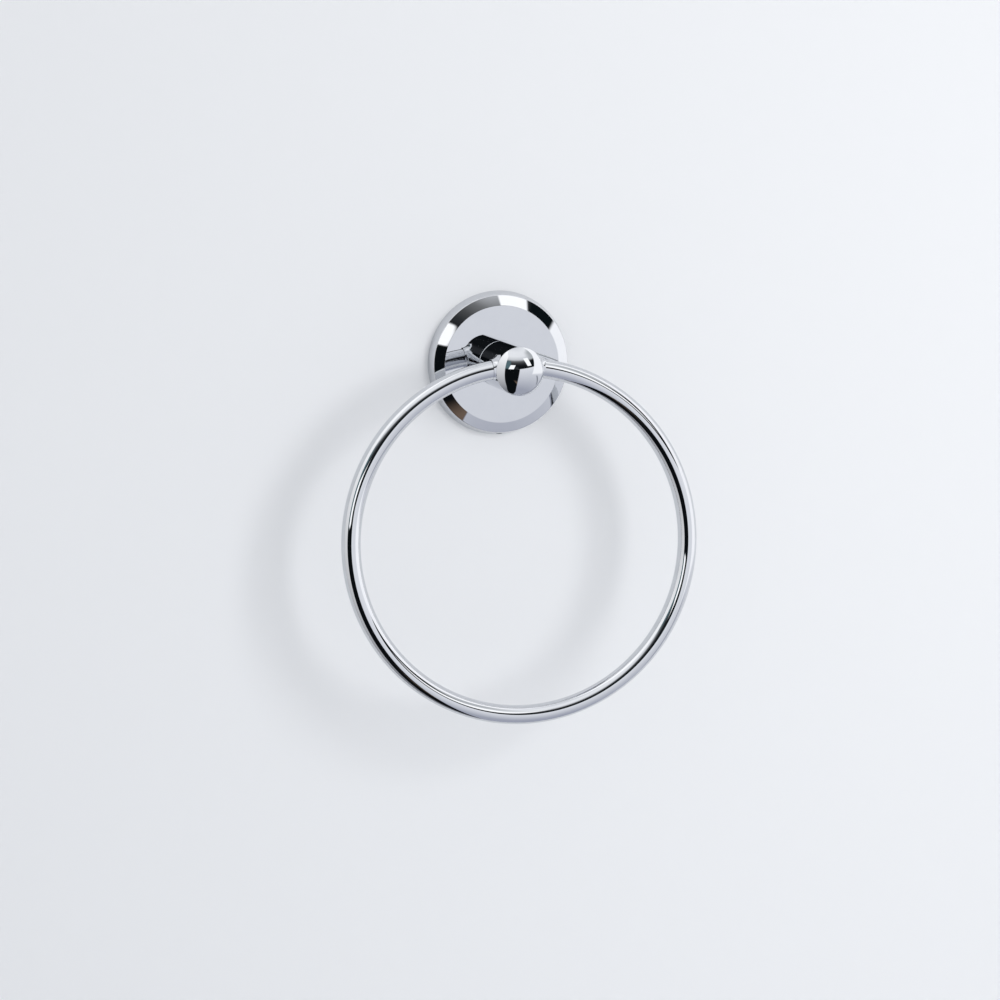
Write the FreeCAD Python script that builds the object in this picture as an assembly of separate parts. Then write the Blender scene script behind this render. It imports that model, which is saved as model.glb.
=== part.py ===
import FreeCAD, Part
import math
import os

os.makedirs("parts", exist_ok=True)

# Wall-mounted towel ring: a bevelled round flange, a post with a domed end, and a bent tube ring
# whose two ends sit in the sides of the post. A bent strap on the wall carries it, out of sight.
# Millimetres. Origin at the centre of the flange on the wall, +Z up, -Y out into the room.

# Flange, a die-cast shell that is open at the back
flange_r = 35.0
flange_flank_inset = 1.7
flange_bevel_width = 5.0
flange_crest_depth = 6.0
flange_depth = 7.8
flange_wall = 2.4
flange_crest_round = 0.5
flange_face_round = 0.45

# Post, turned, with a domed end: a cap of a larger ball that meets the side at an eased edge
post_r = 11.5
dome_rim_depth = 40.7
dome_height = 4.6
dome_edge_round = 0.5
post_foot_round = 0.4
spigot_r = 4.5
spigot_flat = 1.0
spigot_short = 0.2
spigot_clearance = 0.05

# Ring, bent from round tube, leaning out from the wall towards its bottom
ring_r = 82.0
tube_r = 4.5
tube_wall = 1.0
ring_lean_deg = 6.7
ring_set_back = 4.9
ring_top_height = 1.6
ring_end_x = 1.7

# Sockets for the ring's ends, drilled straight into each side of the post
socket_clearance = 0.2
socket_floor_x = 1.2

# Screw that clamps the post to the flange from behind, with its washer
post_screw_r = 2.5
post_screw_length = 14.0
post_screw_head_r = 4.75
post_screw_head_h = 2.75
post_screw_key = 3.0
post_screw_key_depth = 1.6
post_hole_spare = 2.0
thread_clearance = 0.03
washer_r = 7.0
washer_bore_r = 2.65
washer_t = 1.2

# Wall bracket, a pressed strap with both ends bent out at 45 degrees
bracket_t = 1.6
bracket_width = 20.0
bracket_length_ratio = 0.6
bracket_lip = 3.0
bracket_bend_r = 0.8
bracket_corner_r = 2.0
bracket_window_r = 7.5
bracket_hole_r = 2.2
bracket_slot_length = 7.0

# Wall screws and plugs, one above and one below the post
wall_screw_height_ratio = 2 / 3
wall_screw_r = 2.0
wall_screw_length = 30.0
wall_screw_tip = 4.0
wall_screw_head_r = 4.0
wall_screw_head_h = 2.8
wall_screw_head_round = 1.2
cross_width = 0.9
cross_span = 4.4
cross_depth = 1.5
plug_r = 3.0
plug_length = 28.0
plug_recess = 2.2
plug_solid_length = 9.0
plug_slit = 0.8

# Hook in the top of the flange, and the grub screw with its boss in the bottom
hook_width = 14.0
hook_inset = 0.4
hook_clearance = 0.2
grub_depth = 2.2
grub_r = 1.5
grub_setback = 1.8
grub_key = 1.5
grub_key_depth = 2.0
boss_width = 8.0
boss_clearance = 0.8

# Sizes and positions that follow from the ones above
flange_crest_r = flange_r - flange_flank_inset
flange_face_r = flange_crest_r - flange_bevel_width
flange_roof_depth = flange_depth - flange_wall
washer_back_depth = flange_roof_depth - washer_t
bracket_half_length = bracket_length_ratio * flange_r
wall_screw_height = wall_screw_height_ratio * bracket_half_length
lip_tip_z = bracket_half_length + bracket_lip
grub_tip_z = -(bracket_half_length + grub_depth)
grub_end_z = -(flange_r - grub_setback)
ring_top_depth = dome_rim_depth - ring_set_back
lean = math.radians(ring_lean_deg)
ring_up = FreeCAD.Vector(0, math.sin(lean), math.cos(lean))
ring_side = FreeCAD.Vector(1, 0, 0)
ring_top = FreeCAD.Vector(0, -ring_top_depth, ring_top_height)
ring_centre = ring_top - ring_up * ring_r

X_AXIS = FreeCAD.Vector(1, 0, 0)
Y_AXIS = FreeCAD.Vector(0, 1, 0)
Z_AXIS = FreeCAD.Vector(0, 0, 1)
ORIGIN = FreeCAD.Vector(0, 0, 0)


def turned(edges):
    """Solid of revolution about the post's axis, from a closed outline of edges."""
    face = Part.Face(Part.Wire(edges))
    return face.revolve(ORIGIN, Y_AXIS, 360)


def at(radius, depth):
    """Point of a turned outline: radius from the post's axis, depth out from the wall."""
    return FreeCAD.Vector(radius, -depth, 0)


def outline(points):
    """Closed chain of straight edges through the points."""
    ends = points[1:] + points[:1]
    return [Part.makeLine(a, b) for a, b in zip(points, ends)]


def prism_across(points, width):
    """Profile in the upright plane of the post, extruded to both sides of it."""
    start = [FreeCAD.Vector(-width / 2, p.y, p.z) for p in points]
    face = Part.Face(Part.Wire(outline(start)))
    return face.extrude(X_AXIS * width)


def side(depth, height):
    """Point of an upright profile: depth out from the wall, height above the post's axis."""
    return FreeCAD.Vector(0, -depth, height)


def circle_edges(shape, radius, depth):
    """Full circular edges about the post's axis, of this radius and at this depth."""
    found = []
    for edge in shape.Edges:
        whole = abs(edge.Length - 2 * math.pi * radius) < 1e-4
        if whole and abs(edge.CenterOfMass.y + depth) < 1e-4:
            found.append(edge)
    return found


def along_edges(shape, height, depth):
    """Straight edges parallel to the X axis at this height and depth."""
    found = []
    for edge in shape.Edges:
        box = edge.BoundBox
        level = box.ZLength < 1e-4 and box.YLength < 1e-4
        if level and abs(box.ZMin - height) < 1e-3 and abs(box.YMin + depth) < 1e-3:
            found.append(edge)
    return found


def hexagon(across_flats, height, centre, direction):
    """Hexagonal prism for a key socket."""
    corner = across_flats / math.sqrt(3)
    helper = Z_AXIS if abs(direction.z) < 0.5 else X_AXIS
    u = direction.cross(helper).normalize()
    v = direction.cross(u).normalize()
    points = []
    for k in range(6):
        turn = math.radians(60 * k)
        points.append(centre + u * (corner * math.cos(turn)) + v * (corner * math.sin(turn)))
    face = Part.Face(Part.Wire(outline(points)))
    return face.extrude(direction * height)


def make_flange():
    """Bevelled shell with a D-shaped hole, a hook at the top and a screw boss at the bottom."""
    solid = turned(outline([
        at(0, 0),
        at(flange_r, 0),
        at(flange_crest_r, flange_crest_depth),
        at(flange_face_r, flange_depth),
        at(0, flange_depth),
    ]))
    back = [f for f in solid.Faces if abs(f.CenterOfMass.y) < 1e-6][0]
    shell = solid.makeThickness([back], -flange_wall, 1e-4)
    cavity = solid.cut(shell)
    crest = circle_edges(shell, flange_crest_r, flange_crest_depth)
    shell = shell.makeFillet(flange_crest_round, crest)
    face_rim = circle_edges(shell, flange_face_r, flange_depth)
    shell = shell.makeFillet(flange_face_round, face_rim)

    # The hook's slanted front lies just behind the slanted upper lip of the bracket
    gap = hook_clearance * math.sqrt(2)
    hook_front = bracket_lip + hook_inset
    hook = prism_across([
        side(hook_inset, bracket_half_length + hook_inset + gap),
        side(hook_front, bracket_half_length + hook_front + gap),
        side(hook_front, flange_r),
        side(hook_inset, flange_r),
    ], hook_width)

    # The boss backs the thread of the grub screw from the side wall to short of the lower lip
    boss = prism_across([
        side(hook_inset, -lip_tip_z - boss_clearance),
        side(flange_roof_depth, -lip_tip_z - boss_clearance),
        side(flange_roof_depth, -flange_r),
        side(hook_inset, -flange_r),
    ], boss_width)
    shell = shell.fuse([hook.common(cavity), boss.common(cavity)]).removeSplitter()

    thread = Part.makeCylinder(
        grub_r + thread_clearance, flange_r, side(grub_depth, 0), -Z_AXIS)
    hole_r = spigot_r + spigot_clearance
    hole = Part.makeCylinder(hole_r, flange_depth, ORIGIN, -Y_AXIS)
    flat_z = spigot_r - spigot_flat + spigot_clearance
    keep = Part.makeBox(
        2 * flange_r, 2 * flange_depth, flange_r,
        FreeCAD.Vector(-flange_r, -1.5 * flange_depth, flat_z - flange_r))
    return shell.cut(thread).cut(hole.common(keep))


def ring_point(angle):
    """Point of the ring's centreline, the angle taken from its top."""
    return ring_centre + ring_side * (ring_r * math.sin(angle)) + ring_up * (ring_r * math.cos(angle))


def ring_direction(angle):
    """Direction of the ring's centreline, away from its top on the +X side."""
    return ring_side * math.cos(angle) - ring_up * math.sin(angle)


def make_post():
    """Turned post: spigot with a flat, straight body, domed end, and two drilled sockets."""
    spigot_depth = flange_roof_depth + spigot_short
    end = dome_rim_depth + dome_height
    ball_r = (post_r ** 2 + dome_height ** 2) / (2 * dome_height)
    halfway = math.asin(post_r / ball_r) / 2
    crown = at(ball_r * math.sin(halfway), end - ball_r * (1 - math.cos(halfway)))
    edges = [
        Part.makeLine(at(0, spigot_depth), at(spigot_r, spigot_depth)),
        Part.makeLine(at(spigot_r, spigot_depth), at(spigot_r, flange_depth)),
        Part.makeLine(at(spigot_r, flange_depth), at(post_r, flange_depth)),
        Part.makeLine(at(post_r, flange_depth), at(post_r, dome_rim_depth)),
        Part.Arc(at(post_r, dome_rim_depth), crown, at(0, end)).toShape(),
        Part.makeLine(at(0, end), at(0, spigot_depth)),
    ]
    post = turned(edges)
    post = post.makeFillet(post_foot_round, circle_edges(post, post_r, flange_depth))
    post = post.makeFillet(dome_edge_round, circle_edges(post, post_r, dome_rim_depth))

    flat = Part.makeBox(
        2 * spigot_r, flange_wall, spigot_r,
        FreeCAD.Vector(-spigot_r, -flange_depth, spigot_r - spigot_flat))
    hole_length = post_screw_length + post_hole_spare
    hole = Part.makeCylinder(
        post_screw_r + thread_clearance, hole_length, at(0, washer_back_depth), -Y_AXIS)
    post = post.cut(flat).cut(hole)

    # Each socket is drilled along the tube's direction halfway down the socket
    middle_angle = math.asin((socket_floor_x + post_r) / 2 / ring_r)
    along = ring_direction(middle_angle)
    centre = ring_point(middle_angle)
    start = centre - along * ((centre.x - socket_floor_x) / along.x)
    bore = Part.makeCylinder(tube_r + socket_clearance, 2 * post_r, start, along)
    other = bore.mirror(ORIGIN, X_AXIS)
    return post.cut(bore).cut(other)


def make_ring():
    """Open circle of round tube; the gap between its ends lies inside the post."""
    end_angle = math.asin(ring_end_x / ring_r)
    centre = ring_point(end_angle)
    along = ring_direction(end_angle)
    axis = ring_up.cross(ring_side)
    sweep = 360 - 2 * math.degrees(end_angle)
    bent = []
    for radius in (tube_r, tube_r - tube_wall):
        disc = Part.Face(Part.Wire(Part.makeCircle(radius, centre, along)))
        bent.append(disc.revolve(ring_centre, axis, sweep))
    return bent[0].cut(bent[1])


def make_post_screw():
    """Button-head screw with a key socket, its head behind the flange."""
    head_back = washer_back_depth - post_screw_head_h
    rim = washer_back_depth - 0.3 * post_screw_head_h
    shoulder = at(0.8 * post_screw_head_r, washer_back_depth - 0.75 * post_screw_head_h)
    crown_r = 0.45 * post_screw_head_r
    tip = washer_back_depth + post_screw_length
    edges = [
        Part.makeLine(at(0, head_back), at(crown_r, head_back)),
        Part.Arc(at(crown_r, head_back), shoulder, at(post_screw_head_r, rim)).toShape(),
        Part.makeLine(at(post_screw_head_r, rim), at(post_screw_head_r, washer_back_depth)),
        Part.makeLine(at(post_screw_head_r, washer_back_depth), at(post_screw_r, washer_back_depth)),
        Part.makeLine(at(post_screw_r, washer_back_depth), at(post_screw_r, tip)),
        Part.makeLine(at(post_screw_r, tip), at(0, tip)),
        Part.makeLine(at(0, tip), at(0, head_back)),
    ]
    key = hexagon(post_screw_key, post_screw_key_depth, at(0, head_back), -Y_AXIS)
    return turned(edges).cut(key)


def make_post_washer():
    """Plain washer between the screw's head and the flange's inner face."""
    disc = Part.makeCylinder(washer_r, washer_t, at(0, washer_back_depth), -Y_AXIS)
    bore = Part.makeCylinder(washer_bore_r, washer_t, at(0, washer_back_depth), -Y_AXIS)
    return disc.cut(bore)


def make_bracket():
    """Strap with 45 degree lips, a window for the post's screw and two fixing holes."""
    bend_front = bracket_half_length - bracket_t * math.tan(math.radians(22.5))
    across = bracket_t / math.sqrt(2)
    upper = [
        side(0, bracket_half_length),
        side(bracket_lip, lip_tip_z),
        side(bracket_lip + across, lip_tip_z - across),
        side(bracket_t, bend_front),
    ]
    lower = [FreeCAD.Vector(0, p.y, -p.z) for p in reversed(upper)]
    strap = prism_across(upper + lower, bracket_width)
    for sign in (1, -1):
        inside = along_edges(strap, sign * bend_front, bracket_t)
        strap = strap.makeFillet(bracket_bend_r, inside)
        outside = along_edges(strap, sign * bracket_half_length, 0)
        strap = strap.makeFillet(bracket_bend_r + bracket_t, outside)

    # Rounded corners at both ends, cut square to the wall
    reach = 2 * (bracket_lip + bracket_t)
    blank = Part.makeBox(
        bracket_width, 2 * reach, 2 * lip_tip_z,
        FreeCAD.Vector(-bracket_width / 2, -reach, -lip_tip_z))
    corners = [e for e in blank.Edges if e.BoundBox.YLength > reach]
    strap = strap.common(blank.makeFillet(bracket_corner_r, corners))

    window = Part.makeCylinder(bracket_window_r, bracket_t, ORIGIN, -Y_AXIS)
    round_hole = Part.makeCylinder(bracket_hole_r, bracket_t, side(0, wall_screw_height), -Y_AXIS)
    run = bracket_slot_length / 2 - bracket_hole_r
    slot = Part.makeBox(
        2 * run, bracket_t, 2 * bracket_hole_r,
        FreeCAD.Vector(-run, -bracket_t, -wall_screw_height - bracket_hole_r))
    for sign in (1, -1):
        end = FreeCAD.Vector(sign * run, 0, -wall_screw_height)
        slot = slot.fuse(Part.makeCylinder(bracket_hole_r, bracket_t, end, -Y_AXIS))
    return strap.cut([window, round_hole, slot.removeSplitter()])


def make_grub_screw():
    """Headless screw with a cone point that bears behind the bracket's lower lip."""
    body_z = grub_tip_z - grub_r
    point = Part.makeCone(grub_r, 0, grub_r, side(grub_depth, body_z), Z_AXIS)
    body = Part.makeCylinder(grub_r, body_z - grub_end_z, side(grub_depth, grub_end_z), Z_AXIS)
    key = hexagon(grub_key, grub_key_depth, side(grub_depth, grub_end_z), Z_AXIS)
    return body.fuse(point).removeSplitter().cut(key)


def make_wall_screw(height):
    """Pan-head wall screw with a cross recess, its head on the bracket."""
    head_front = bracket_t + wall_screw_head_h
    tip = bracket_t - wall_screw_length
    screw = turned(outline([
        at(0, head_front),
        at(wall_screw_head_r, head_front),
        at(wall_screw_head_r, bracket_t),
        at(wall_screw_r, bracket_t),
        at(wall_screw_r, tip + wall_screw_tip),
        at(0, tip),
    ]))
    rim = circle_edges(screw, wall_screw_head_r, head_front)
    screw = screw.makeFillet(wall_screw_head_round, rim)
    for length, width in ((cross_span, cross_width), (cross_width, cross_span)):
        screw = screw.cut(Part.makeBox(
            length, cross_depth, width,
            FreeCAD.Vector(-length / 2, -head_front, -width / 2)))
    screw.translate(side(0, height))
    return screw


def make_wall_plug(height):
    """Plug in the wall, slit along most of its length so that the screw can spread it."""
    barrel = Part.makeCylinder(plug_r, plug_length, at(0, -plug_recess), Y_AXIS)
    bore = Part.makeCylinder(
        wall_screw_r + thread_clearance, plug_length, at(0, -plug_recess), Y_AXIS)
    slit_length = plug_length - plug_solid_length
    slit = Part.makeBox(
        2 * plug_r, slit_length, plug_slit,
        FreeCAD.Vector(-plug_r, plug_recess + plug_solid_length, -plug_slit / 2))
    legs = barrel.cut(bore).cut(slit)
    legs.translate(side(0, height))
    return legs


parts = {
    "flange": make_flange(),
    "post": make_post(),
    "ring": make_ring(),
    "post_screw": make_post_screw(),
    "post_washer": make_post_washer(),
    "wall_bracket": make_bracket(),
    "grub_screw": make_grub_screw(),
}
for place, sign in (("upper", 1), ("lower", -1)):
    parts["wall_screw_" + place] = make_wall_screw(sign * wall_screw_height)
    parts["wall_plug_" + place] = make_wall_plug(sign * wall_screw_height)

for name, shape in parts.items():
    shape.exportStep("parts/" + name + ".step")
    box = shape.BoundBox
    print(name, shape.ShapeType, len(shape.Solids), shape.isValid(), round(shape.Volume, 1),
          [round(v, 2) for v in (box.XMin, box.XMax, box.YMin, box.YMax, box.ZMin, box.ZMax)])
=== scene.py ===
import math

import bmesh
import bpy
import numpy as np
from mathutils import Matrix, Vector


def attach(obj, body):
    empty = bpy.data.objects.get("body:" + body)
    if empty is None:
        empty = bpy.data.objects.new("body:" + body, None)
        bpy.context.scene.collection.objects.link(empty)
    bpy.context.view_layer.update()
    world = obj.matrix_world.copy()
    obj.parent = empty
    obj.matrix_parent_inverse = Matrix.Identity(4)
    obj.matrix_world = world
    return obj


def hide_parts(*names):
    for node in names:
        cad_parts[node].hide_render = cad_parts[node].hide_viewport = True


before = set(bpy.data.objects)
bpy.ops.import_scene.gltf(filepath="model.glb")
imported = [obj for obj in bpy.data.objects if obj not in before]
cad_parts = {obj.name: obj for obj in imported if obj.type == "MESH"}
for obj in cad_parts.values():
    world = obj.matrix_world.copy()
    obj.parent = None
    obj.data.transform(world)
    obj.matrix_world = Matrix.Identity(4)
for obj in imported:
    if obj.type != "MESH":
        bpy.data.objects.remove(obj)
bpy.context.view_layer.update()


# Wall plugs: two moulded grey nylon plugs, pushed into drilled holes above and below the post.
# A plain collar in front, then two legs with saw-tooth barbs, parted by a slit so that the screw
# can spread them. Moulded nylon is a little waxy, with a faint cloudiness.
MM = 0.001
WALL_SCREW_HEIGHT = 14.0
PLUG_R = 3.0
PLUG_BORE_R = 2.03
PLUG_FRONT = -2.2
PLUG_SHOULDER = -11.2
PLUG_END = -30.2
PLUG_EDGE = 0.25
PLUG_END_EDGE = 0.3
PLUG_PLAIN_END = 1.0
PLUG_SLIT = 0.8
PLUG_SLIT_LENGTH = 20.0
BARB_PITCH = 2.3
BARB_ROOT_R = 2.62
BARB_DROP = 0.15
BARB_START = 0.6
PLUG_AROUND = 48


def linear(hex_colour):
    """Linear colour of an sRGB hex value."""
    values = [int(hex_colour[i:i + 2], 16) / 255 for i in (1, 3, 5)]
    return [v / 12.92 if v <= 0.04045 else ((v + 0.055) / 1.055) ** 2.4 for v in values] + [1.0]


def add(tree, kind, links=(), **settings):
    """Adds a node with its settings, and the links that come in at its sockets."""
    node = tree.nodes.new(kind)
    for key, value in settings.items():
        if hasattr(node, key):
            setattr(node, key, value)
        else:
            node.inputs[key.replace("_", " ")].default_value = value
    for socket, source in links:
        tree.links.new(source, node.inputs[socket])
    return node


def new_material(name):
    """Empty node material, with its tree."""
    material = bpy.data.materials.new(name)
    material.use_nodes = True
    material.node_tree.nodes.clear()
    return material, material.node_tree


def worked(name, light, dark, metallic, rough_low, rough_high, grain_mm, relief_mm, stretch=(1, 1, 1)):
    """Surface with two close tones, a drifting roughness and a fine relief, all at one grain."""
    material, tree = new_material(name)
    place = add(tree, "ShaderNodeTexCoord")
    pull = add(tree, "ShaderNodeMapping", [("Vector", place.outputs["Object"])])
    pull.inputs["Scale"].default_value = stretch
    grain = add(tree, "ShaderNodeTexNoise", [("Vector", pull.outputs["Vector"])],
                Scale=1000 / grain_mm, Detail=4.0)
    tone = add(tree, "ShaderNodeMix", [("Factor", grain.outputs["Fac"])], data_type="RGBA")
    tone.inputs["A"].default_value = linear(dark)
    tone.inputs["B"].default_value = linear(light)
    polish = add(tree, "ShaderNodeMapRange", [("Value", grain.outputs["Fac"])])
    polish.inputs["To Min"].default_value = rough_low
    polish.inputs["To Max"].default_value = rough_high
    relief = add(tree, "ShaderNodeBump", [("Height", grain.outputs["Fac"])],
                 Strength=1.0, Distance=relief_mm * MM)
    shader = add(tree, "ShaderNodeBsdfPrincipled", [
        ("Base Color", tone.outputs["Result"]), ("Roughness", polish.outputs["Result"]),
        ("Normal", relief.outputs["Normal"])], Metallic=metallic)
    add(tree, "ShaderNodeOutputMaterial", [("Surface", shader.outputs["BSDF"])])
    return material


def turned(outline, around):
    """Mesh turned about the post's axis from a closed outline of radius and depth, in mm."""
    points, rings, faces = [], [], []
    for radius, depth in outline:
        count = 1 if radius < 1e-6 else around
        rings.append([len(points) + k for k in range(count)])
        for k in range(count):
            turn = 2 * math.pi * k / around
            points.append((radius * math.cos(turn), -depth, radius * math.sin(turn)))
    closed = outline[0][0] > 1e-6
    for a, b in zip(rings, rings[1:] + (rings[:1] if closed else [])):
        for k in range(around):
            n = (k + 1) % around
            if len(a) == 1:
                faces.append((a[0], b[n], b[k]))
            elif len(b) == 1:
                faces.append((a[k], a[n], b[0]))
            else:
                faces.append((a[k], a[n], b[n], b[k]))
    mesh = bpy.data.meshes.new("turned")
    mesh.from_pydata(points, [], faces)
    return tidied(mesh)


def tidied(mesh):
    """Mesh with doubled points joined and every face turned outward."""
    work = bmesh.new()
    work.from_mesh(mesh)
    bmesh.ops.remove_doubles(work, verts=work.verts, dist=1e-4)
    bmesh.ops.dissolve_degenerate(work, dist=1e-5, edges=work.edges)
    bmesh.ops.recalc_face_normals(work, faces=work.faces)
    work.to_mesh(mesh)
    work.free()
    return mesh


def prism(corners, reach):
    """Mesh of a flat outline of corners, carried along a straight reach, in mm."""
    count = len(corners)
    ends = [tuple(Vector(c)) for c in corners] + [tuple(Vector(c) + Vector(reach)) for c in corners]
    faces = [tuple(range(count)), tuple(range(count, 2 * count))]
    faces += [(k, (k + 1) % count, count + (k + 1) % count, count + k) for k in range(count)]
    mesh = bpy.data.meshes.new("prism")
    mesh.from_pydata(ends, [], faces)
    return tidied(mesh)


def worked_with(base, tool, operation):
    """Base mesh with the tool's shape cut out of it or fused to it."""
    pair = []
    for mesh in (base, tool):
        pair.append(bpy.data.objects.new("work", mesh))
        bpy.context.scene.collection.objects.link(pair[-1])
    step = pair[0].modifiers.new("step", "BOOLEAN")
    step.solver = "EXACT"
    step.operation = operation
    step.object = pair[1]
    seen = pair[0].evaluated_get(bpy.context.evaluated_depsgraph_get())
    result = bpy.data.meshes.new_from_object(seen)
    for piece in pair:
        bpy.data.objects.remove(piece)
    return result


def finished(name, mesh, materials, edge_deg=35.0, place=None):
    """Piece of the object from a mesh in mm, in the place and the body of the node it stands for."""
    mesh.name = name
    if place is not None:
        mesh.transform(place)
    mesh.transform(Matrix.Scale(MM, 4))
    # Clearing the materials resets each face's choice, so the choices are put back afterwards
    chosen = [min(p.material_index, len(materials) - 1) for p in mesh.polygons]
    mesh.materials.clear()
    for material in materials:
        mesh.materials.append(material)
    mesh.polygons.foreach_set("material_index", chosen)
    if not mesh.has_custom_normals:
        mesh.shade_smooth()
        mesh.set_sharp_from_angle(angle=math.radians(edge_deg))
    piece = bpy.data.objects.new(name + "_piece", mesh)
    bpy.context.scene.collection.objects.link(piece)
    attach(piece, "root")
    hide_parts(name)
    return piece


nylon = worked("moulded_grey_nylon", "#9a9fa4", "#858a90", 0.0, 0.40, 0.55, 1.2, 0.01)
plug_outline = [(PLUG_BORE_R, PLUG_FRONT), (PLUG_R - PLUG_EDGE, PLUG_FRONT),
                (PLUG_R, PLUG_FRONT - PLUG_EDGE), (PLUG_R, PLUG_SHOULDER)]
barb = PLUG_SHOULDER
while barb - BARB_PITCH > PLUG_END + PLUG_PLAIN_END:
    plug_outline += [(BARB_ROOT_R, barb - BARB_DROP), (BARB_ROOT_R, barb - BARB_START),
                     (PLUG_R, barb - BARB_PITCH)]
    barb -= BARB_PITCH
plug_outline += [(BARB_ROOT_R, barb - BARB_DROP), (BARB_ROOT_R, PLUG_END + PLUG_END_EDGE),
                 (BARB_ROOT_R - PLUG_EDGE, PLUG_END), (PLUG_BORE_R, PLUG_END)]
slit_half = PLUG_R + 1
slit_start = -PLUG_SHOULDER
for place, sign in (("upper", 1), ("lower", -1)):
    slit = prism([(x * slit_half, slit_start, z * PLUG_SLIT / 2)
                  for x, z in ((-1, -1), (1, -1), (1, 1), (-1, 1))], (0, PLUG_SLIT_LENGTH, 0))
    plug = worked_with(turned(plug_outline, PLUG_AROUND), slit, "DIFFERENCE")
    finished("wall_plug_" + place, plug, [nylon],
             place=Matrix.Translation((0, 0, sign * WALL_SCREW_HEIGHT)))


# Wall bracket: steel strap, pressed with a window and two holes, both ends bent out at 45 degrees,
# then zinc plated. The plating is a soft, bluish mirror over the marks that the rolls drew out
# along the strip.
zinc_strip = worked("bright_zinc_plate_on_strip", "#c6ccd3", "#a9b0b9", 1.0, 0.24, 0.40, 1.6, 0.004,
                    (1, 1, 0.15))
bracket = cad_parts["wall_bracket"]
bracket.data.materials.clear()
bracket.data.materials.append(zinc_strip)


# Wall screws: 4 x 30 mm, pan head with a cross recess, thread rolled to a point, zinc plated.
# They clamp the bracket and spread the plugs. The zinc is a cool silver whose shine drifts a little.
zinc = worked("bright_zinc_plate_on_wire", "#cfd4da", "#a4abb4", 1.0, 0.20, 0.36, 0.8, 0.004)
WALL_SCREW_FRONT = 1.6
WALL_SCREW_HEAD = [(0, -2.8), (1.4, -2.78), (2.6, -2.66), (3.25, -2.4), (3.7, -2.0), (3.93, -1.6),
                   (4.0, -1.2), (4.0, -0.15), (3.85, 0), (2.0, 0), (2.0, 2.4), (1.5, 3.0)]
WALL_SCREW_SHANK = [(3.0, 1.5, 1.5), (4.0, 1.46, 2.0), (26.0, 1.4, 2.0), (29.4, 0.25, 0.25),
                    (30.0, 0.0, 0.0)]
WALL_SCREW_PITCH = 1.8
WALL_SCREW_TURN = 0.6
WALL_SCREW_AROUND = 32
WOOD_THREAD = [(0.0, 0.0), (0.52, 0.0), (0.74, 1.0), (0.80, 1.0)]
CROSS_FRONT = (-2.9, 2.2, 0.45)
CROSS_FLOOR = (-1.3, 1.1, 0.32)


def threaded(start, stations, pitch, form, around):
    """Screw along +Z: a turned start, then a thread whose rows climb one pitch in each turn.
    Stations give the root and crest radius along the screw, and end at its tip."""
    along = [s[0] for s in stations]
    first, last = along[0], along[-2]
    turns = math.ceil((last - first) / pitch) + 2
    columns = []
    for i in range(around):
        column = list(start)
        for turn in range(-1, turns):
            for offset, height in form:
                z = min(max(first + pitch * (turn + offset + i / around), first), last)
                root = np.interp(z, along, [s[1] for s in stations])
                crest = np.interp(z, along, [s[2] for s in stations])
                column.append((root + (crest - root) * height, z))
        column.append((stations[-1][1], along[-1]))
        columns.append(column)
    points, index = [], []
    for i, column in enumerate(columns):
        turn = 2 * math.pi * i / around
        index.append(list(range(len(points), len(points) + len(column))))
        points += [(r * math.cos(turn), r * math.sin(turn), z) for r, z in column]
    plain, step, rows = len(start), len(form), len(columns[0])
    faces = []
    for i in range(around):
        a, b = index[i], index[(i + 1) % around]
        shift = step if i == around - 1 else 0
        for j in range(rows - 1):
            if j < plain or j == rows - 2:
                faces.append((a[j], a[j + 1], b[j + 1], b[j]))
            else:
                up, over = min(j + shift, rows - 2), min(j + 1 + shift, rows - 2)
                if up != over:
                    faces.append((a[j], a[j + 1], b[over], b[up]))
    mesh = bpy.data.meshes.new("threaded")
    mesh.from_pydata(points, [], faces)
    return tidied(mesh)


def cross_wing(long_x):
    """One tapered pair of wings of a cross recess, from the head's front to the recess's floor."""
    corners = []
    for z, w, n in (CROSS_FRONT, CROSS_FLOOR):
        corners += [(x * w, y * n, z) if long_x else (y * n, x * w, z)
                    for x, y in ((-1, -1), (1, -1), (1, 1), (-1, 1))]
    mesh = bpy.data.meshes.new("wing")
    mesh.from_pydata(corners, [], [(0, 1, 2, 3), (4, 5, 6, 7), (0, 1, 5, 4), (1, 2, 6, 5),
                                   (2, 3, 7, 6), (3, 0, 4, 7)])
    return tidied(mesh)


for place, sign in (("upper", 1), ("lower", -1)):
    screw = threaded(WALL_SCREW_HEAD, WALL_SCREW_SHANK, WALL_SCREW_PITCH, WOOD_THREAD, WALL_SCREW_AROUND)
    for long_x in (True, False):
        screw = worked_with(screw, cross_wing(long_x), "DIFFERENCE")
    seat = (Matrix.Translation((0, -WALL_SCREW_FRONT, sign * WALL_SCREW_HEIGHT))
            @ Matrix.Rotation(-math.pi / 2, 4, "X") @ Matrix.Rotation(sign * WALL_SCREW_TURN, 4, "Z"))
    finished("wall_screw_" + place, screw, [zinc], place=seat)


# Flange: a zinc shell, cast in a die, then ground, polished and plated with bright chromium over
# nickel. Its bevel is very slightly crowned by the polishing mop. Behind it the casting is left
# dull, with a hook for the bracket at the top and a boss for the grub screw at the bottom.
FLANGE_R = 35.0
FLANGE_CREST = (33.3, 6.0)
FLANGE_FACE = (28.3, 7.8)
FLANGE_CROWN = 0.012
FLANGE_CREST_ROUND = 0.5
FLANGE_FACE_ROUND = 0.45
FLANGE_AROUND = 288
FLANGE_INSIDE = [(32.51, 0), (31.55, 3.4), (31.0, 4.28), (28.9, 5.03), (27.88, 5.4), (0, 5.4)]
HOOK = [(0.4, 21.68), (3.4, 24.68), (3.4, 33.2), (0.4, 33.2)]
HOOK_WIDTH = 14.0
BOSS = [(0.4, -24.8), (5.5, -24.8), (5.5, -33.0), (0.4, -33.0)]
BOSS_WIDTH = 8.0
GRUB_DEPTH = 2.2
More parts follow.
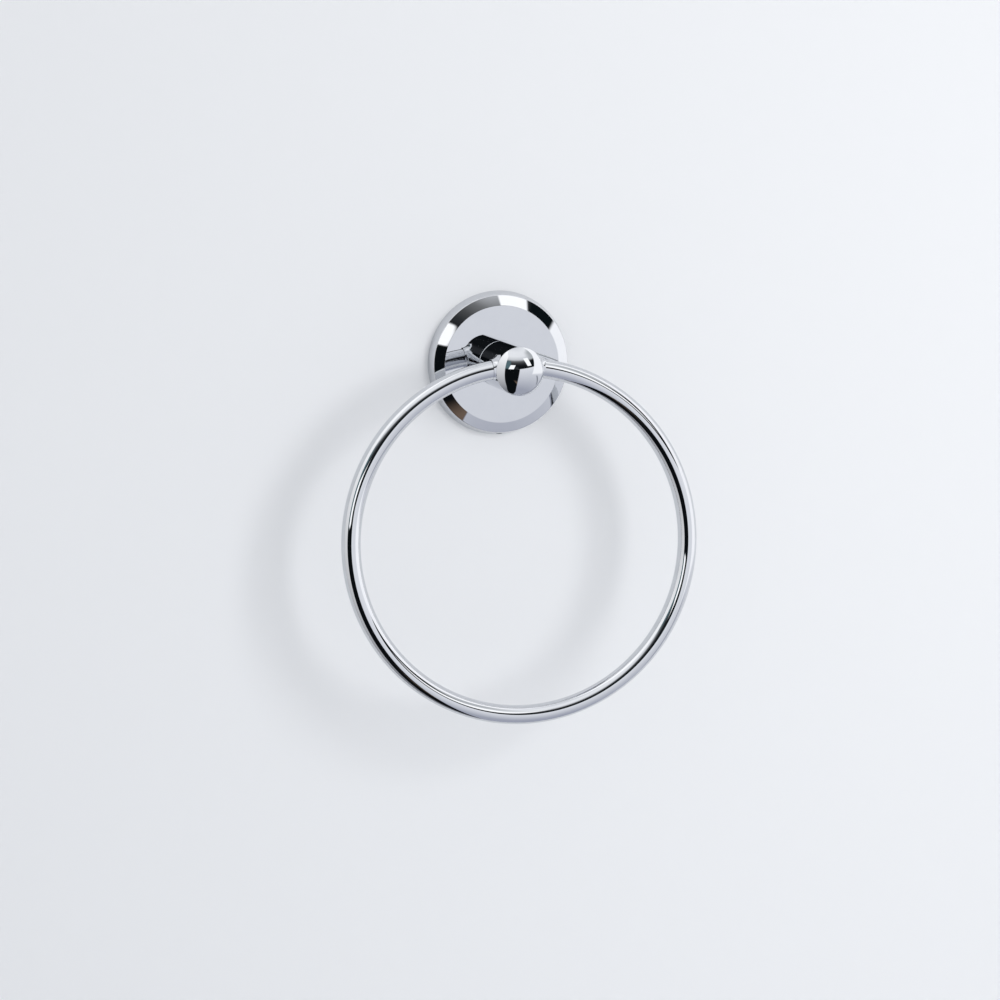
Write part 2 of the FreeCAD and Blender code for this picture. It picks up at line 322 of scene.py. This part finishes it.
GRUB_HOLE_R = 1.53
GRUB_HOLE_TOP = -23.0
GRUB_HOLE_LENGTH = 13.0
SPIGOT_HOLE_R = 4.55
SPIGOT_HOLE_FLAT = 3.55
SPIGOT_HOLE_BACK = 4.0
SPIGOT_HOLE_LENGTH = 5.0
SHARP_DEG = 35

# Chromium is a cool, nearly clean mirror, too smooth for any grain to show as relief
chrome = worked("bright_chromium_plate", "#d6d8db", "#d1d3d7", 1.0, 0.012, 0.030, 5.0, 0.0)
# The inside is as the die left it, a dull grey skin under a breath of plating
cast_zinc = worked("cast_zinc_thin_plate", "#a2a6ab", "#83888f", 1.0, 0.38, 0.60, 0.9, 0.02)


def arc(centre, radius, first_deg, last_deg, steps):
    """Points of an arc in radius and depth, each with the direction its surface faces."""
    found = []
    for k in range(steps + 1):
        a = math.radians(first_deg + (last_deg - first_deg) * k / steps)
        found.append((centre[0] + radius * math.cos(a), centre[1] + radius * math.sin(a), a))
    return found


def ease(facing_deg, reach, ball, ball_r, radius, root):
    """Centre of the round between a straight side and a ball's arc, and where it meets the arc."""
    a = math.radians(facing_deg)
    out, on = Vector((math.cos(a), math.sin(a))), Vector((-math.sin(a), math.cos(a)))
    start = out * (reach - radius) - Vector(ball)
    b = start.dot(on)
    inner = math.sqrt(b * b - start.dot(start) + (ball_r - radius) ** 2)
    centre = Vector(ball) + start + on * (-b + root * inner)
    lean = centre - Vector(ball)
    return tuple(centre), math.degrees(math.atan2(lean.y, lean.x))


def line(first, last, steps):
    """Points of a straight side between two points that face the same way."""
    return [tuple(p + (q - p) * k / steps for p, q in zip(first, last)) for k in range(1, steps)]


def polished(mesh, strip, inside_index=1, swing=None, near=0.03, alike=0.96, fade=1.5):
    """Mesh whose faces on the polished outline have their exact normals, so that they mirror
    without ripples, and whose other faces have the inside material. A swing turns the normals of
    a domed end, and fades out at its rim."""
    mesh.shade_smooth()
    mesh.set_sharp_from_angle(angle=math.radians(SHARP_DEG))
    points = np.array([v.co for v in mesh.vertices])
    loops = np.array([l.vertex_index for l in mesh.loops])
    normals = np.array([n.vector for n in mesh.corner_normals])
    track = np.array([s[:2] for s in strip])
    facing = np.array([s[2] for s in strip])
    steps = track[1:] - track[:-1]
    length = (steps ** 2).sum(1)

    def nearest(places):
        """Distance of places from the polished outline, and the direction it faces there."""
        flat = np.stack([np.hypot(places[:, 0], places[:, 2]), -places[:, 1]], 1)
        gap = flat[:, None] - track[None, :-1]
        t = np.clip((gap * steps).sum(2) / length, 0, 1)
        off = np.hypot(*(gap - t[..., None] * steps).transpose(2, 0, 1))
        best = off.argmin(1)
        rows = np.arange(len(best))
        return off[rows, best], facing[best] + (facing[best + 1] - facing[best]) * t[rows, best]

    def outward(places, angle):
        """Normals of the turned surface at these places."""
        radius = np.maximum(np.hypot(places[:, 0], places[:, 2]), 1e-9)
        return np.stack([np.cos(angle) * places[:, 0] / radius, -np.sin(angle),
                         np.cos(angle) * places[:, 2] / radius], 1)

    centres = np.array([p.center for p in mesh.polygons])
    faces = np.array([p.normal for p in mesh.polygons])
    off, angle = nearest(centres)
    on = (off < near) & ((outward(centres, angle) * faces).sum(1) > alike)
    mesh.polygons.foreach_set("material_index", np.where(on, 0, inside_index).astype(np.int32))
    sizes = np.array([p.loop_total for p in mesh.polygons])
    mine = np.repeat(on, sizes)
    spots = points[loops[mine]]
    normals[mine] = outward(spots, nearest(spots)[1])
    if swing is not None:
        radius = np.hypot(spots[:, 0], spots[:, 2])
        full = np.clip((POST_R - DOME_EDGE_ROUND - radius) / fade, 0, 1)[:, None]
        swung = normals[mine] @ np.array(swing).T
        normals[mine] = normals[mine] * (1 - full) + swung * full
    mesh.normals_split_custom_set([tuple(n) for n in normals])
    return mesh


# The outline of the polished side: flank, crest, crowned bevel, face rim and flat face
bevel_run = Vector(FLANGE_FACE) - Vector(FLANGE_CREST)
bevel_r = (bevel_run.length_squared / 4 + FLANGE_CROWN ** 2) / (2 * FLANGE_CROWN)
bevel_out = Vector((bevel_run.y, -bevel_run.x)).normalized()
bevel_centre = Vector(FLANGE_CREST) + bevel_run / 2 - bevel_out * (bevel_r - FLANGE_CROWN)
flank_deg = math.degrees(math.atan2(FLANGE_R - FLANGE_CREST[0], FLANGE_CREST[1]))
flank_reach = FLANGE_R * math.cos(math.radians(flank_deg))
crest_centre, crest_deg = ease(flank_deg, flank_reach, bevel_centre, bevel_r, FLANGE_CREST_ROUND, 1)
rim_centre, rim_deg = ease(90, FLANGE_FACE[1], bevel_centre, bevel_r, FLANGE_FACE_ROUND, -1)
crest_arc = arc(crest_centre, FLANGE_CREST_ROUND, flank_deg, crest_deg, 10)
bevel_arc = arc(bevel_centre, bevel_r, crest_deg, rim_deg, 12)
rim_arc = arc(rim_centre, FLANGE_FACE_ROUND, rim_deg, 90, 6)
flank = [(FLANGE_R, 0.0, math.radians(flank_deg))]
flank += line(flank[0], crest_arc[0], 6)
face_middle = (0.0, FLANGE_FACE[1], math.pi / 2)
flat_face = line(rim_arc[-1], face_middle, 12) + [face_middle]
flange_strip = flank + crest_arc + bevel_arc[1:] + rim_arc[1:] + flat_face

flange = turned([s[:2] for s in reversed(flange_strip)] + FLANGE_INSIDE, FLANGE_AROUND)
for profile, width in ((HOOK, HOOK_WIDTH), (BOSS, BOSS_WIDTH)):
    block = prism([(-width / 2, -depth, height) for depth, height in profile], (width, 0, 0))
    flange = worked_with(flange, block, "UNION")
spigot_hole = []
for k in range(64):
    turn = 2 * math.pi * k / 64
    x, z = SPIGOT_HOLE_R * math.cos(turn), SPIGOT_HOLE_R * math.sin(turn)
    spigot_hole.append((x, -SPIGOT_HOLE_BACK, min(z, SPIGOT_HOLE_FLAT)))
flange = worked_with(flange, prism(spigot_hole, (0, -SPIGOT_HOLE_LENGTH, 0)), "DIFFERENCE")
grub_hole = []
for k in range(32):
    turn = 2 * math.pi * k / 32
    grub_hole.append((GRUB_HOLE_R * math.cos(turn), -GRUB_DEPTH + GRUB_HOLE_R * math.sin(turn),
                      GRUB_HOLE_TOP))
flange = worked_with(flange, prism(grub_hole, (0, 0, -GRUB_HOLE_LENGTH)), "DIFFERENCE")
finished("flange", polished(flange, flange_strip), [chrome, cast_zinc])


# Post: turned from brass bar, its end a cap of a larger ball with an eased edge, polished and
# plated like the flange. A spigot with a flat keeps it from turning in the flange, and two
# sockets, drilled along the ring's own direction, take the ring's ends.
POST_R = 11.5
POST_FOOT = 7.8
POST_FOOT_ROUND = 0.65
DOME_RIM = 40.7
DOME_HEIGHT = 4.6
DOME_EDGE_ROUND = 0.5
POST_AROUND = 256
SPIGOT_R = 4.5
SPIGOT_FLAT = 3.5
SPIGOT_BACK = 5.6
SPIGOT_CHAMFER = 0.3
POST_BORE_R = 2.53
POST_BORE_START = 4.0
POST_BORE_END = 20.2
POST_BORE_TIP = 21.4
RING_R = 82.0
TUBE_R = 4.5
TUBE_WALL = 1.0
RING_LEAN = math.radians(6.7)
RING_TOP = Vector((0, -35.8, 1.6))
RING_END_X = 1.7
SOCKET_R = 4.7
SOCKET_FLOOR_X = 1.2
SOCKET_LENGTH = 15.0
LIP_REACH = 12.6
LIP_INNER_R = 4.85
LIP_OUTER_R = 6.7
LIP_BEND = (4.95, 10.6)
LIP_FOOT = 9.2
LIP_BURIED = 6.0
LIP_BACK_OFF = 0.05

# Cut brass is warm yellow, with the fine marks of the tool
brass = worked("bare_turned_brass", "#c9a765", "#b08c4c", 1.0, 0.22, 0.34, 0.5, 0.003)
ring_up = Vector((0, math.sin(RING_LEAN), math.cos(RING_LEAN)))
ring_side = Vector((1, 0, 0))
ring_centre = RING_TOP - ring_up * RING_R

ball_r = (POST_R ** 2 + DOME_HEIGHT ** 2) / (2 * DOME_HEIGHT)
ball = (0.0, DOME_RIM + DOME_HEIGHT - ball_r)
edge_centre, edge_deg = ease(0, POST_R, ball, ball_r, DOME_EDGE_ROUND, 1)
foot_centre = (POST_R - POST_FOOT_ROUND, POST_FOOT + POST_FOOT_ROUND)
edge_arc = arc(edge_centre, DOME_EDGE_ROUND, edge_deg, 0, 8)
foot_arc = arc(foot_centre, POST_FOOT_ROUND, 0, -90, 10)
post_strip = arc(ball, ball_r, 90, edge_deg, 28) + edge_arc[1:]
post_strip += line(edge_arc[-1], foot_arc[0], 64) + foot_arc
post = turned([(max(s[0], 0.0), s[1]) for s in post_strip]
              + [(SPIGOT_R, POST_FOOT), (SPIGOT_R, SPIGOT_BACK + SPIGOT_CHAMFER),
                 (SPIGOT_R - SPIGOT_CHAMFER, SPIGOT_BACK), (0, SPIGOT_BACK)], POST_AROUND)
past_flat = [(x, -POST_FOOT, z) for x, z in ((-6, SPIGOT_FLAT), (6, SPIGOT_FLAT), (6, 6), (-6, 6))]
post = worked_with(post, prism(past_flat, (0, 3, 0)), "DIFFERENCE")
bore = turned([(0, POST_BORE_START), (POST_BORE_R, POST_BORE_START), (POST_BORE_R, POST_BORE_END),
               (0, POST_BORE_TIP)], 48)
post = worked_with(post, bore, "DIFFERENCE")

# A narrow lip flares round each socket, dressed flush with the rim of the domed end
lip_curve = []
for k in range(19):
    t = k / 18
    first, bend, last = (1 - t) ** 2, 2 * t * (1 - t), t * t
    lip_curve.append((first * LIP_INNER_R + bend * LIP_BEND[0] + last * LIP_OUTER_R,
                      first * LIP_REACH + bend * LIP_BEND[1] + last * LIP_FOOT))
lip_outline = [(0, LIP_REACH)] + lip_curve + [(LIP_OUTER_R, LIP_BURIED), (0, LIP_BURIED)]
rim_side = LIP_BACK_OFF - DOME_RIM
past_rim = prism([(x * 20, rim_side, z * 20) for x, z in ((-1, -1), (1, -1), (1, 1), (-1, 1))],
                 (0, -10, 0))
middle = math.asin((SOCKET_FLOOR_X + POST_R) / 2 / RING_R)
way = ring_side * math.cos(middle) - ring_up * math.sin(middle)
centre = ring_centre + ring_side * (RING_R * math.sin(middle)) + ring_up * (RING_R * math.cos(middle))
start = centre - way * ((centre.x - SOCKET_FLOOR_X) / way.x)
over = way.cross(ring_up).normalized()
up = over.cross(way)
along_socket = Matrix((over, -way, up)).transposed().to_4x4()
circle = [start + (over * math.cos(math.pi * k / 40) + up * math.sin(math.pi * k / 40)) * SOCKET_R
          for k in range(80)]
for sign in (1, -1):
    flip = Matrix.Diagonal((sign, 1, 1))
    lip = turned(lip_outline, 112)
    lip.transform(Matrix.Translation(start - way * SOCKET_FLOOR_X) @ along_socket)
    lip.transform(flip.to_4x4())
    lip = worked_with(tidied(lip), past_rim, "DIFFERENCE")
    post = worked_with(post, lip, "UNION")
    socket = prism([flip @ c for c in circle], flip @ (way * SOCKET_LENGTH))
    post = worked_with(post, socket, "DIFFERENCE")

# The mop has worn the cap a touch lopsided, so that what it mirrors sits a little to one side
MOP_TIP = math.radians(1.0)
MOP_TURN = math.radians(4.6)
mop_swing = Matrix.Rotation(-MOP_TIP, 3, "X") @ Matrix.Rotation(-MOP_TURN, 3, "Z")
post = polished(post, post_strip, 0, mop_swing)


def is_bare(face):
    """Whether a face of the post is on its spigot or in its bore, where it isn't plated."""
    depth, radius = -face.center.y, math.hypot(face.center.x, face.center.z)
    return depth < POST_FOOT + 0.05 or (radius < POST_BORE_R + 0.5 and depth < POST_BORE_TIP + 1)


post.polygons.foreach_set("material_index", [int(is_bare(face)) for face in post.polygons])
finished("post", post, [chrome, brass])


# Ring: drawn steel tube, bent to a circle on a roller, its two ends in the post's sockets,
# polished all round and plated like the post.
AROUND_TUBE = 56
ALONG_RING = 540
INSIDE_EACH = 20
ring_points, ring_faces = [], []
end_angle = math.asin(RING_END_X / RING_R)
outer_stops = [end_angle + (2 * math.pi - 2 * end_angle) * k / ALONG_RING
               for k in range(ALONG_RING + 1)]
inner_stops = outer_stops[::-INSIDE_EACH]
across = ring_up.cross(ring_side)
for radius, stops in ((TUBE_R, outer_stops), (TUBE_R - TUBE_WALL, inner_stops)):
    for angle in stops:
        out = ring_side * math.sin(angle) + ring_up * math.cos(angle)
        for k in range(AROUND_TUBE):
            turn = 2 * math.pi * k / AROUND_TUBE
            ring_points.append(ring_centre + out * (RING_R + radius * math.cos(turn))
                               + across * (radius * math.sin(turn)))
rows = len(ring_points) // AROUND_TUBE
for row in range(rows):
    for k in range(AROUND_TUBE):
        a, b = row * AROUND_TUBE, (row + 1) % rows * AROUND_TUBE
        n = (k + 1) % AROUND_TUBE
        ring_faces.append((a + k, a + n, b + n, b + k))
ring_mesh = bpy.data.meshes.new("ring")
ring_mesh.from_pydata([tuple(p) for p in ring_points], [], ring_faces)
finished("ring", tidied(ring_mesh), [chrome], 40)


# Post screw and washer: M5 button-head screw with a key socket, and a plain punched washer,
# both zinc plated steel. They pull the post's spigot into the flange from behind.
SCREW_SEAT = 4.2
POST_SCREW_HEAD = [(0, -2.75), (2.14, -2.75), (2.7, -2.63), (3.3, -2.38), (3.8, -2.06), (4.25, -1.64),
                   (4.6, -1.14), (4.75, -0.825), (4.75, -0.12), (4.63, 0), (2.5, 0), (2.1, 0.3)]
POST_SCREW_SHANK = [(0.3, 2.1, 2.1), (0.8, 2.06, 2.5), (12.8, 2.06, 2.5), (13.9, 1.95, 1.95),
                    (14.0, 0.0, 0.0)]
POST_SCREW_PITCH = 0.8
POST_SCREW_AROUND = 36
POST_SCREW_KEY = 3.0
POST_SCREW_KEY_START = -3.0
POST_SCREW_KEY_DEPTH = 1.85
METRIC_THREAD = [(0.0, 0.0), (0.14, 0.0), (0.52, 1.0), (0.64, 1.0)]


def key_socket(across_flats, base_z, depth):
    """Hexagonal prism of a key socket, along +Z from the base."""
    corner = across_flats / math.sqrt(3)
    return prism([(corner * math.cos(math.pi * k / 3), corner * math.sin(math.pi * k / 3), base_z)
                  for k in range(6)], (0, 0, depth))


post_screw = threaded(POST_SCREW_HEAD, POST_SCREW_SHANK, POST_SCREW_PITCH, METRIC_THREAD,
                      POST_SCREW_AROUND)
post_key = key_socket(POST_SCREW_KEY, POST_SCREW_KEY_START, POST_SCREW_KEY_DEPTH)
post_screw = worked_with(post_screw, post_key, "DIFFERENCE")
finished("post_screw", post_screw, [zinc],
         place=Matrix.Translation((0, -SCREW_SEAT, 0)) @ Matrix.Rotation(math.pi / 2, 4, "X"))
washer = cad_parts["post_washer"]
washer.data.materials.clear()
washer.data.materials.append(zinc)


# Grub screw: M3 headless stainless screw with a key socket and a cone point. It goes in through
# the bottom of the flange and bears behind the bracket's lower lip.
GRUB_START = [(0, 0), (1.05, 0), (1.24, 0.2)]
GRUB_SHANK = [(0.2, 1.24, 1.24), (0.5, 1.22, 1.5), (8.1, 1.22, 1.5), (8.5, 1.2, 1.2), (10.0, 0.0, 0.0)]
GRUB_PITCH = 0.5
GRUB_AROUND = 32
GRUB_KEY = 1.5
GRUB_KEY_START = -0.3
GRUB_KEY_DEPTH = 2.3
GRUB_FOOT = -33.2

# Stainless steel as it comes from the lathe, a plain and slightly dull grey
stainless = worked("plain_stainless_steel", "#b4b5b6", "#97989b", 1.0, 0.24, 0.38, 0.6, 0.003)
grub = threaded(GRUB_START, GRUB_SHANK, GRUB_PITCH, METRIC_THREAD, GRUB_AROUND)
grub = worked_with(grub, key_socket(GRUB_KEY, GRUB_KEY_START, GRUB_KEY_DEPTH), "DIFFERENCE")
finished("grub_screw", grub, [stainless],
         place=Matrix.Translation((0, -GRUB_DEPTH, GRUB_FOOT)))


# Stage: a plain pale wall and floor, seen from the front only, so that the back can be looked at.
# The wall is open behind the flange, where the flange hides it, so that light gets in there.
WALL_LEFT_RIGHT = 2.0
WALL_TOP = 1.4
FLOOR_DEPTH = 0.6
FLOOR_FRONT = 3.0
OPENING_R = 0.0347


def plane(name, corners, faces, material):
    """Flat stage piece with these corners and faces."""
    mesh = bpy.data.meshes.new(name)
    mesh.from_pydata(corners, [], faces)
    mesh.materials.append(material)
    piece = bpy.data.objects.new(name, mesh)
    bpy.context.scene.collection.objects.link(piece)
    return piece


paint, paint_tree = new_material("matt_pale_paint")
paint_side = add(paint_tree, "ShaderNodeNewGeometry")
paint_shader = add(paint_tree, "ShaderNodeBsdfPrincipled", Roughness=0.6)
paint_shader.inputs["Base Color"].default_value = linear("#f0f1f3")
paint_clear = add(paint_tree, "ShaderNodeBsdfTransparent")
paint_mix = add(paint_tree, "ShaderNodeMixShader", [
    (0, paint_side.outputs["Backfacing"]), (1, paint_shader.outputs["BSDF"]),
    (2, paint_clear.outputs["BSDF"])])
add(paint_tree, "ShaderNodeOutputMaterial", [("Surface", paint_mix.outputs["Shader"])])
wall_turns = sorted([2 * math.pi * k / 64 for k in range(64)]
                    + [math.atan2(rise, run) % (2 * math.pi) for rise in (WALL_TOP, -FLOOR_DEPTH)
                       for run in (WALL_LEFT_RIGHT, -WALL_LEFT_RIGHT)])
wall_corners = []
for turn in wall_turns:
    run, rise = math.cos(turn), math.sin(turn)
    edge_height = WALL_TOP if rise > 0 else FLOOR_DEPTH
    reach = min(WALL_LEFT_RIGHT / max(abs(run), 1e-9), edge_height / max(abs(rise), 1e-9))
    wall_corners += [(OPENING_R * run, 0, OPENING_R * rise), (reach * run, 0, reach * rise)]
wall_faces = [(2 * k, 2 * k + 1, (2 * k + 3) % len(wall_corners), (2 * k + 2) % len(wall_corners))
              for k in range(len(wall_turns))]
plane("wall", wall_corners, wall_faces, paint)
floor_corners = [(x * WALL_LEFT_RIGHT, y, -FLOOR_DEPTH)
                 for x, y in ((-1, -FLOOR_FRONT), (1, -FLOOR_FRONT), (1, 0), (-1, 0))]
floor = plane("floor", floor_corners, [(0, 1, 2, 3)], paint)
floor.visible_glossy = False


# Studio: a pale room with soft light. What the polished surfaces mirror is drawn by direction,
# in degrees: azimuth from the flange's front to the right, and height above level. Each patch is
# bounded by straight edges a * azimuth + b * height + c > 0, and may shade from low to high.
STUDIO_GAIN = 1.5
ROOM_LIGHT = 0.72
EDGE = 0.8
SHADE_REACH = 60.0
heights = [(-90, "#a9adb6"), (-10, "#0b0f11"), (12, "#0b0f11"), (19, "#1a1c1e"), (24, "#2e3032"),
           (28, "#48494a"), (32, "#6c6d6e"), (37, "#c3c5c8"), (48, "#e2e3e5"), (62, "#e4e5e7"),
           (80, "#cfd1d5")]
patches = [
    ("ceiling_shade", "#a9acae", "#a9acae", [(1, 0, -36, 16.0), (0, 1, -34, 4.0), (0, -1, 58, 6.0)]),
    ("dark_corner", "#0b1113", "#0b1113", [(1, 0, -36, 3.0), (0, 1, -8, EDGE), (0, -1, 31, 3.0)]),
    ("faint_glow", "#2b2d2f", "#2b2d2f", [(1, 0, 20, 3.0), (-1, 0, -8, 3.0), (0, 1, -3, 3.0),
                                          (0, -1, 14, 3.0)]),
    ("teal_corner", "#50666c", "#50666c", [(-1, 0, -34, 3.0), (0, 1, -8, 5.0), (0, -1, 33, 4.0)]),
    ("softbox", "#ffffff", "#ffffff", [(1, 0.46, -31.7, EDGE), (-1, -0.25, 42.8, EDGE),
                                       (0, 1, -15, EDGE), (0, -1, 40, EDGE)]),
    ("window", "#ffffff", "#ffffff", [(1, -0.53, 44.2, EDGE), (-1, 0.49, -26.8, EDGE),
                                      (0, 1, -6.8, EDGE), (0, -1, 19.8, EDGE)]),
    ("panel", "#9a9da9", "#fbfcfd", [(0.08, -1, 7, EDGE)]),
    ("side_light", "#e9eaec", "#f8f8fa", [(1, -0.4, -44, 1.2), (0, 1, 10, 3.0)]),
    ("band", "#7a7d84", "#7a7d84", [(1, 0.75, -46, 2.0), (-1, -0.75, 52, 2.0), (0, 1, 37, 3.0),
                                    (0, -1, -15, 3.0)]),
    ("screen", "#0a0d0f", "#0a0d0f", [(-1, 0.16, -3.9, EDGE), (0, -1, 6.6, EDGE)]),
    ("screen_foot", "#66564a", "#66564a", [(-1, 0.16, -3.9, EDGE), (0, -1, -33, 6.0), (1, 1, 54, 1.0),
                                           (-1, -1, -45.5, 1.0)]),
    ("left_light", "#7c7d82", "#ffffff", [(-1, 0.08, -52, EDGE)]),
]
world = bpy.data.worlds.new("studio")
bpy.context.scene.world = world
world.use_nodes = True
sky = world.node_tree
sky.nodes.clear()
direction = add(sky, "ShaderNodeTexCoord")
axes = add(sky, "ShaderNodeSeparateXYZ", [("Vector", direction.outputs["Generated"])])
ahead = add(sky, "ShaderNodeMath", [(0, axes.outputs["Y"])], operation="MULTIPLY")
ahead.inputs[1].default_value = -1.0
turn = add(sky, "ShaderNodeMath", [(0, axes.outputs["X"]), (1, ahead.outputs[0])], operation="ARCTAN2")
azimuth = add(sky, "ShaderNodeMath", [(0, turn.outputs[0])], operation="DEGREES")
rise = add(sky, "ShaderNodeMath", [(0, axes.outputs["Z"])], operation="ARCSINE")
height = add(sky, "ShaderNodeMath", [(0, rise.outputs[0])], operation="DEGREES")
share = add(sky, "ShaderNodeMapRange", [("Value", height.outputs[0])], From_Min=-90.0, From_Max=90.0)
ramp = add(sky, "ShaderNodeValToRGB", [("Fac", share.outputs["Result"])])
while len(ramp.color_ramp.elements) < len(heights):
    ramp.color_ramp.elements.new(0.5)
for stop, (deg, colour) in zip(ramp.color_ramp.elements, heights):
    stop.position = (deg + 90) / 180
    stop.color = linear(colour)
shown = ramp.outputs["Color"]
tilt = add(sky, "ShaderNodeMapRange", [("Value", height.outputs[0])],
           From_Min=-SHADE_REACH, From_Max=SHADE_REACH)
for name, low, high, edges in patches:
    mask = None
    for a, b, c, soft in edges:
        across = add(sky, "ShaderNodeMath", [(0, azimuth.outputs[0])], operation="MULTIPLY_ADD")
        across.inputs[1].default_value = a
        across.inputs[2].default_value = c
        over = add(sky, "ShaderNodeMath", [(0, height.outputs[0]), (2, across.outputs[0])],
                   operation="MULTIPLY_ADD")
        over.inputs[1].default_value = b
        edge = add(sky, "ShaderNodeMapRange", [("Value", over.outputs[0])],
                   interpolation_type="SMOOTHSTEP", From_Min=-soft, From_Max=soft)
        if mask is None:
            mask = edge.outputs["Result"]
        else:
            mask = add(sky, "ShaderNodeMath", [(0, mask), (1, edge.outputs["Result"])],
                       operation="MULTIPLY").outputs[0]
    shade = add(sky, "ShaderNodeMix", [("Factor", tilt.outputs["Result"])], data_type="RGBA")
    shade.inputs["A"].default_value = linear(low)
    shade.inputs["B"].default_value = linear(high)
    laid = add(sky, "ShaderNodeMix", [("Factor", mask), ("A", shown), ("B", shade.outputs["Result"])],
               data_type="RGBA")
    laid.label = name
    shown = laid.outputs["Result"]
mirrored = add(sky, "ShaderNodeBackground", [("Color", shown)], Strength=STUDIO_GAIN)
room = add(sky, "ShaderNodeBackground", Strength=ROOM_LIGHT)
room.inputs["Color"].default_value = linear("#f3f5f8")
seen_by = add(sky, "ShaderNodeLightPath")
blend = add(sky, "ShaderNodeMixShader", [
    (0, seen_by.outputs["Is Glossy Ray"]), (1, room.outputs["Background"]),
    (2, mirrored.outputs["Background"])])
add(sky, "ShaderNodeOutputWorld", [("Surface", blend.outputs["Shader"])])


# Key light: a softbox to the right of the camera, which gives the wall its soft shadows.
# It isn't mirrored itself, because the studio above already holds what the chrome shows.
KEY_AZIMUTH = math.radians(32)
KEY_HEIGHT = math.radians(16)
KEY_DISTANCE = 1.5
KEY_SIZE = (0.5, 0.8)
KEY_WATTS = 8.0
KEY_AIM = Vector((0, 0, -0.06))
key_data = bpy.data.lights.new("key", "AREA")
key_data.shape = "RECTANGLE"
key_data.size, key_data.size_y = KEY_SIZE
key_data.energy = KEY_WATTS
key = bpy.data.objects.new("key", key_data)
bpy.context.scene.collection.objects.link(key)
key_way = Vector((math.sin(KEY_AZIMUTH) * math.cos(KEY_HEIGHT),
                  -math.cos(KEY_AZIMUTH) * math.cos(KEY_HEIGHT), math.sin(KEY_HEIGHT)))
key.location = KEY_AIM + key_way * KEY_DISTANCE
key.rotation_euler = key_way.to_track_quat("Z", "Y").to_euler()
key.visible_camera = False
key.visible_glossy = False


# Camera, at the photograph's viewing angle: a little left of the object and just above it.
CAMERA_PLACE = (-0.24698, -0.94413, 0.10342)
CAMERA_TURN = 14.7115
CAMERA_TIP = 9.9434
CAMERA_ROLL = 0.0576
CAMERA_LENS = 72.602
camera_data = bpy.data.cameras.new("camera")
camera_data.sensor_width = 36.0
camera_data.lens = CAMERA_LENS
camera_data.clip_start = 0.01
camera = bpy.data.objects.new("camera", camera_data)
bpy.context.scene.collection.objects.link(camera)
camera.matrix_world = (
    Matrix.Translation(CAMERA_PLACE)
    @ Matrix.Rotation(-math.radians(CAMERA_TURN), 4, "Z")
    @ Matrix.Rotation(math.radians(90 - CAMERA_TIP), 4, "X")
    @ Matrix.Rotation(-math.radians(CAMERA_ROLL), 4, "Z")
)
bpy.context.scene.camera = camera
bpy.context.scene.view_settings.view_transform = "Standard"
